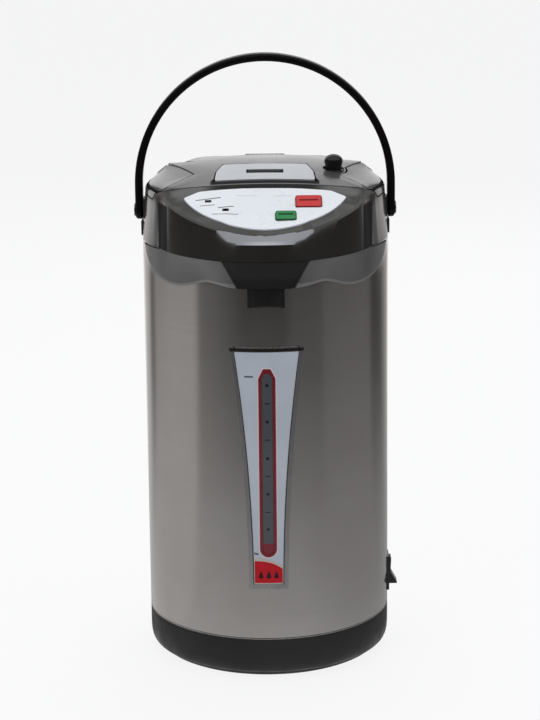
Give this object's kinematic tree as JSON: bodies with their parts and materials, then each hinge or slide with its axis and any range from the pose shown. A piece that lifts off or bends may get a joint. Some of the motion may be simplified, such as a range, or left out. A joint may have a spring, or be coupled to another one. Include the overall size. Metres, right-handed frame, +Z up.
{
  "type": "electric thermo pot",
  "caption": "Tall cylindrical electric water heater and dispenser with a swivel foot, beaked control head, hinged lid, bail handle, level gauge and pump.",
  "frame": {"origin": "on the body axis, at the underside of the foot's middle pad", "axes": "+Z up along the body; -Y is the front, where the beak, gauge and buttons are; +X is to the right seen from the front"},
  "size_m": [0.2256, 0.2368, 0.5212],
  "materials": {
    "black_plastic": "satin",
    "pad_rubber": "matte",
    "base_plastic": "satin",
    "screw_steel": "satin",
    "brushed_steel": "satin brushed",
    "pot_steel": "bright",
    "white_seal": "matte",
    "heater_mica": "matte",
    "white_plastic": "satin",
    "motor_steel": "satin",
    "grey_plastic": "satin",
    "clear_tube": "clear",
    "gauge_metal": "satin",
    "gauge_print": "satin",
    "gauge_red": "gloss",
    "smoked_window": "gloss",
    "nozzle_black": "satin",
    "bib_plastic": "satin pearl",
    "cover_plastic": "gloss pearl",
    "lid_plastic": "gloss pearl",
    "panel_white": "satin",
    "lens_dark": "gloss",
    "board_green": "satin",
    "button_red": "satin",
    "button_green": "satin",
    "contact_brass": "bright",
    "switch_black": "satin",
    "pivot_plastic": "satin",
    "handle_black": "gloss",
    "latch_silver": "satin",
    "knob_black": "gloss"
  },
  "bodies": {
    "foot": {"swivel_foot": "black_plastic", "foot_pads": "pad_rubber", "swivel_clip": "screw_steel"},
    "pot": {"base_ring": "base_plastic", "base_plate": "black_plastic", "base_screws": "screw_steel", "outer_shell": "brushed_steel", "inner_pot": "pot_steel", "pot_gasket": "white_seal", "heater_band": "heater_mica", "thermostat": "screw_steel", "pump_housing": "white_plastic", "pump_motor": "motor_steel", "suction_tube": "white_seal", "outlet_elbow": "white_seal", "gauge_tube": "clear_tube", "gauge_frame": "gauge_metal", "gauge_panel": "gauge_print", "gauge_bezel": "gauge_red", "gauge_window": "smoked_window", "spout_elbow": "white_seal", "nozzle": "nozzle_black", "bib": "bib_plastic", "front_cover": "cover_plastic", "rear_cover": "cover_plastic", "side_facets": "lid_plastic", "fill_collar": "white_plastic", "control_panel": "panel_white", "indicator_lenses": "lens_dark", "control_board": "board_green", "tact_switches": "black_plastic", "power_board": "board_green", "power_inlet": "black_plastic", "inlet_pins": "contact_brass", "switch_frame": "switch_black", "pivot_blocks": "pivot_plastic", "pivot_pins": "screw_steel", "hinge_bracket": "black_plastic", "hinge_pin": "screw_steel", "collar_screws": "screw_steel"},
    "impeller_rotor": {"impeller": "grey_plastic"},
    "dispense_button": {"red_button": "button_red"},
    "unlock_button": {"green_button": "button_green"},
    "power_rocker": {"rocker": "switch_black"},
    "bail": {"handle": "handle_black"},
    "lid": {"lid_cover": "lid_plastic", "lid_inner": "pot_steel", "lid_gasket": "white_seal", "lid_knuckle": "black_plastic", "latch_tray": "black_plastic", "latch_pin": "screw_steel", "steam_seat": "black_plastic"},
    "latch": {"latch_lever": "latch_silver"},
    "bolt": {"latch_bolt": "screw_steel"},
    "steam_lock": {"steam_knob": "knob_black"}
  },
  "joints": [
    {"name": "body_swivel", "type": "hinge", "parent": "foot", "child": "pot", "pos_m": [0, 0, 0.006], "axis": [0, 0, 1], "continuous": true},
    {"name": "handle_fold", "type": "hinge", "parent": "pot", "child": "bail", "pos_m": [0, 0, 0.389], "axis": [1, 0, 0], "range_deg": [-90, 70]},
    {"name": "lid_hinge", "type": "hinge", "parent": "pot", "child": "lid", "pos_m": [0, 0.091, 0.415], "axis": [-1, 0, 0], "range_deg": [0, 28]},
    {"name": "latch_lift", "type": "hinge", "parent": "lid", "child": "latch", "pos_m": [0, -0.0079, 0.42221], "axis": [-1, 0, 0], "range_deg": [0, 20], "stiffness_Nm_per_rad": 0.02},
    {"name": "bolt_slide", "type": "slide", "parent": "lid", "child": "bolt", "axis": [0, 1, 0], "range_m": [0, 0.005]},
    {"name": "steam_knob_turn", "type": "hinge", "parent": "lid", "child": "steam_lock", "pos_m": [0.0582, -0.01, 0.42432], "axis": [0, 0, 1], "range_deg": [0, 90]},
    {"name": "dispense_press", "type": "slide", "parent": "pot", "child": "dispense_button", "axis": [0, 0.3659, -0.9307], "range_m": [0, 0.0012], "stiffness_N_per_m": 600, "springref_m": -0.0004},
    {"name": "unlock_press", "type": "slide", "parent": "pot", "child": "unlock_button", "axis": [0, 0.3659, -0.9307], "range_m": [0, 0.0012], "stiffness_N_per_m": 600, "springref_m": -0.0004},
    {"name": "power_switch", "type": "hinge", "parent": "pot", "child": "power_rocker", "pos_m": [0.1056, 0, 0.063], "axis": [0, 1, 0], "range_deg": [0, 26]},
    {"name": "pump_spin", "type": "hinge", "parent": "pot", "child": "impeller_rotor", "pos_m": [0, -0.058, 0.045], "axis": [0, 0, 1], "continuous": true}
  ],
  "couplings": [
    {"joint": "bolt_slide", "follows": "latch_lift", "m_per_rad": 0.0143}
  ]
}
